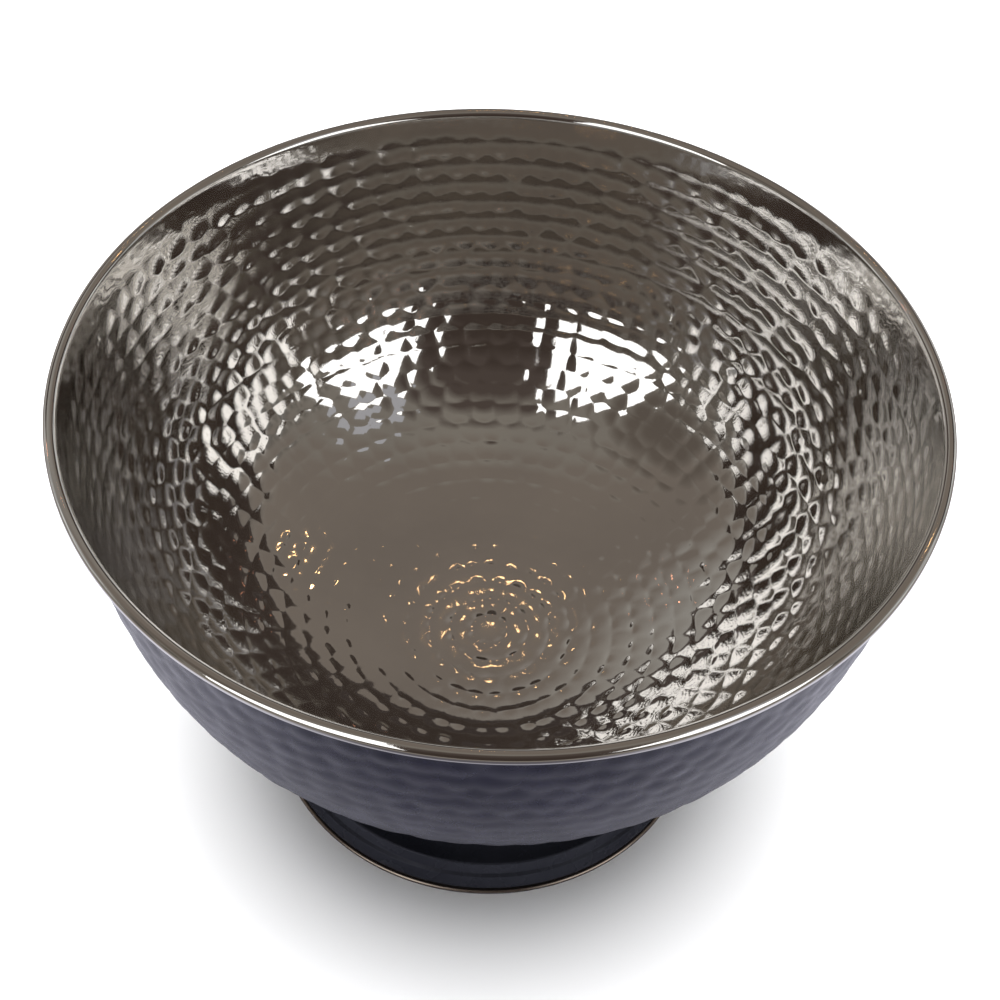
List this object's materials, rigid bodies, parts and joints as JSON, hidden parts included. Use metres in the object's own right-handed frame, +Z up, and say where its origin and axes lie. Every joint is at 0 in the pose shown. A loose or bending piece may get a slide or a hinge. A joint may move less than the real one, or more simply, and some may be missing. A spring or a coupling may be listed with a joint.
{
  "type": "footed hammered bowl",
  "caption": "Large round hammered metal bowl with a rolled bright rim, dark satin outside and a stepped flared foot, for ice, bottles or punch.",
  "frame": {"origin": "centre of the foot's ring on the table", "axes": "+Z up along the bowl's axis, from the foot to the rim; the bowl is round, so X and Y are any two horizontal directions"},
  "size_m": [0.4, 0.4, 0.257],
  "materials": {
    "polished_metal": "polished",
    "wire_steel": "satin",
    "bowl_coat": "satin",
    "foot_metal": "satin",
    "foot_coat": "satin",
    "braze": "matte"
  },
  "bodies": {
    "root": {"hammered_bowl": "polished_metal", "rim_wire": "wire_steel", "bowl_coat": "bowl_coat", "foot": "foot_metal", "foot_coat": "foot_coat", "braze_ring": "braze"}
  },
  "joints": []
}
